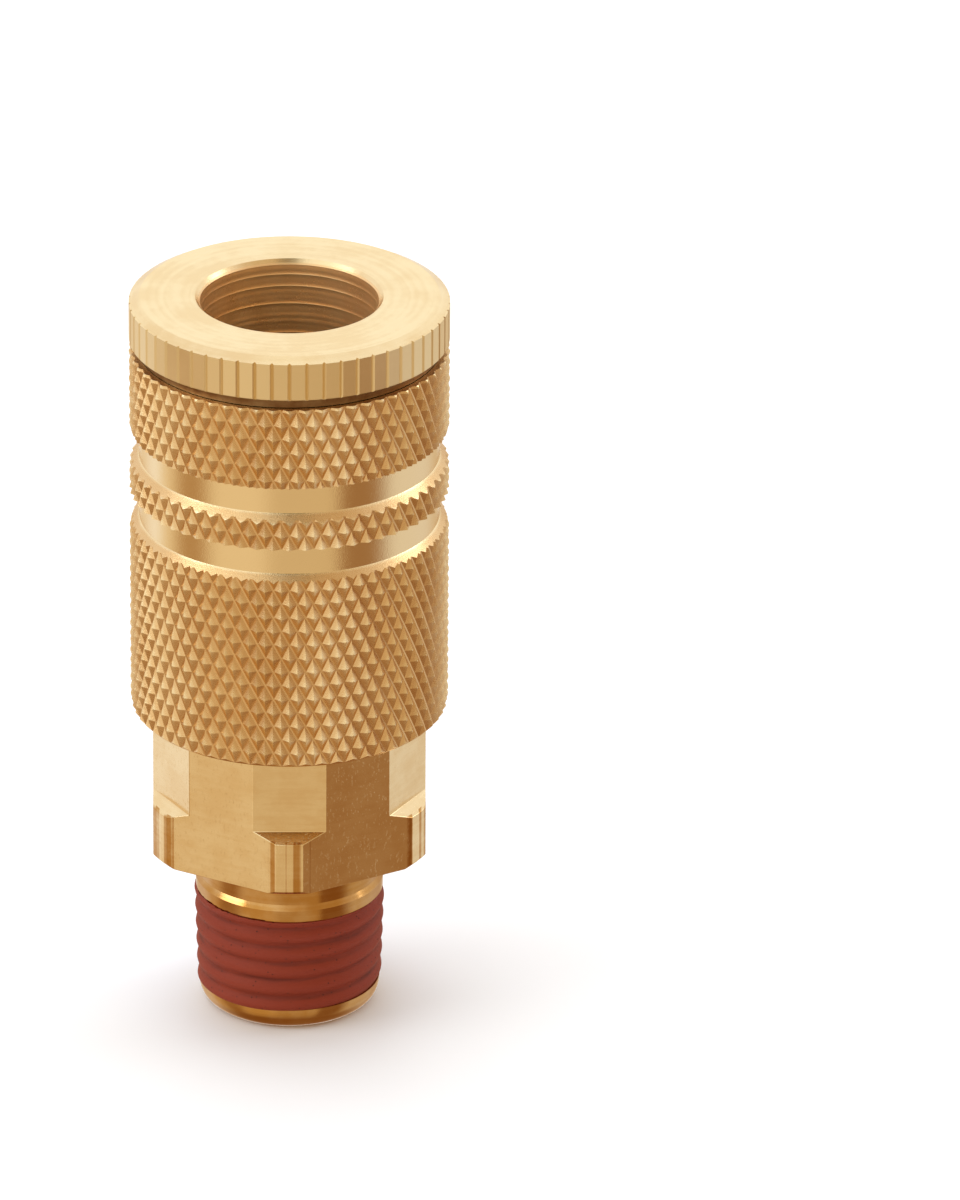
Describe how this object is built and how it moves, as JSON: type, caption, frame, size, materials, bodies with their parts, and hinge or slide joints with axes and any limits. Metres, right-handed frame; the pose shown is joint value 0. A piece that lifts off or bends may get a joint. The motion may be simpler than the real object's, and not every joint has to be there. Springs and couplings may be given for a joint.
{
  "type": "quick disconnect coupler",
  "caption": "Brass quick disconnect air coupler with a knurled sliding release sleeve, locking balls, a shut-off valve and a male tapered pipe thread.",
  "frame": {"origin": "centre of the thread's end face, which is the lowest face of the part", "axes": "+Z along the axis from the thread's end to the mouth that takes the plug; two flats of the hexagon face +X and -X, and two of its corners face +Y and -Y"},
  "size_m": [0.0234, 0.0234, 0.0563],
  "materials": {
    "adapter_brass": "milled flats and turned shank, fine grain, light scratches",
    "socket_brass": "fine-turned face, straight-knurled rim",
    "sleeve_brass": "diamond knurl between polished grooves",
    "valve_brass": "turned",
    "red_sealant": "dried thread sealant, matt, following the thread",
    "ball_steel": "ground and polished bearing steel",
    "spring_steel": "drawn wire",
    "washer_steel": "pressed and tumbled",
    "seal_rubber": "moulded nitrile"
  },
  "bodies": {
    "body": {"hex_adapter": "adapter_brass", "thread_sealant": "red_sealant", "socket_body": "socket_brass", "sleeve_spring": "spring_steel", "spring_washer": "washer_steel", "plug_seal": "seal_rubber", "valve_spring": "spring_steel", "valve_guide": "valve_brass", "body_o_ring": "seal_rubber"},
    "washer": {"thrust_washer": "washer_steel"},
    "sleeve": {"release_sleeve": "sleeve_brass"},
    "valve": {"valve_body": "valve_brass", "valve_seal": "seal_rubber", "valve_nose": "valve_brass"},
    "ball_1": {"locking_ball_1": "ball_steel"},
    "ball_2": {"locking_ball_2": "ball_steel"},
    "ball_3": {"locking_ball_3": "ball_steel"},
    "ball_4": {"locking_ball_4": "ball_steel"},
    "ball_5": {"locking_ball_5": "ball_steel"},
    "ball_6": {"locking_ball_6": "ball_steel"}
  },
  "joints": [
    {"name": "sleeve_slide", "type": "slide", "parent": "body", "child": "washer", "axis": [0, 0, -1], "range_m": [0, 0.004], "stiffness_N_per_m": 1500, "springref_m": -0.006, "deforming": ["sleeve_spring"]},
    {"name": "sleeve_spin", "type": "hinge", "parent": "washer", "child": "sleeve", "pos_m": [0, 0, 0.038], "axis": [0, 0, 1], "continuous": true},
    {"name": "valve_slide", "type": "slide", "parent": "body", "child": "valve", "axis": [0, 0, -1], "range_m": [0, 0.0035], "stiffness_N_per_m": 600, "springref_m": -0.005, "deforming": ["valve_spring"]},
    {"name": "ball_1_slide", "type": "slide", "parent": "body", "child": "ball_1", "axis": [1, 0, 0], "range_m": [0, 0.001]},
    {"name": "ball_2_slide", "type": "slide", "parent": "body", "child": "ball_2", "axis": [0.5, 0.866, 0], "range_m": [0, 0.001]},
    {"name": "ball_3_slide", "type": "slide", "parent": "body", "child": "ball_3", "axis": [-0.5, 0.866, 0], "range_m": [0, 0.001]},
    {"name": "ball_4_slide", "type": "slide", "parent": "body", "child": "ball_4", "axis": [-1, 0, 0], "range_m": [0, 0.001]},
    {"name": "ball_5_slide", "type": "slide", "parent": "body", "child": "ball_5", "axis": [-0.5, -0.866, 0], "range_m": [0, 0.001]},
    {"name": "ball_6_slide", "type": "slide", "parent": "body", "child": "ball_6", "axis": [0.5, -0.866, 0], "range_m": [0, 0.001]}
  ],
  "couplings": [
    {"joint": "ball_1_slide", "follows": "sleeve_slide", "ratio": 0.2375},
    {"joint": "ball_2_slide", "follows": "sleeve_slide", "ratio": 0.2375},
    {"joint": "ball_3_slide", "follows": "sleeve_slide", "ratio": 0.2375},
    {"joint": "ball_4_slide", "follows": "sleeve_slide", "ratio": 0.2375},
    {"joint": "ball_5_slide", "follows": "sleeve_slide", "ratio": 0.2375},
    {"joint": "ball_6_slide", "follows": "sleeve_slide", "ratio": 0.2375}
  ]
}
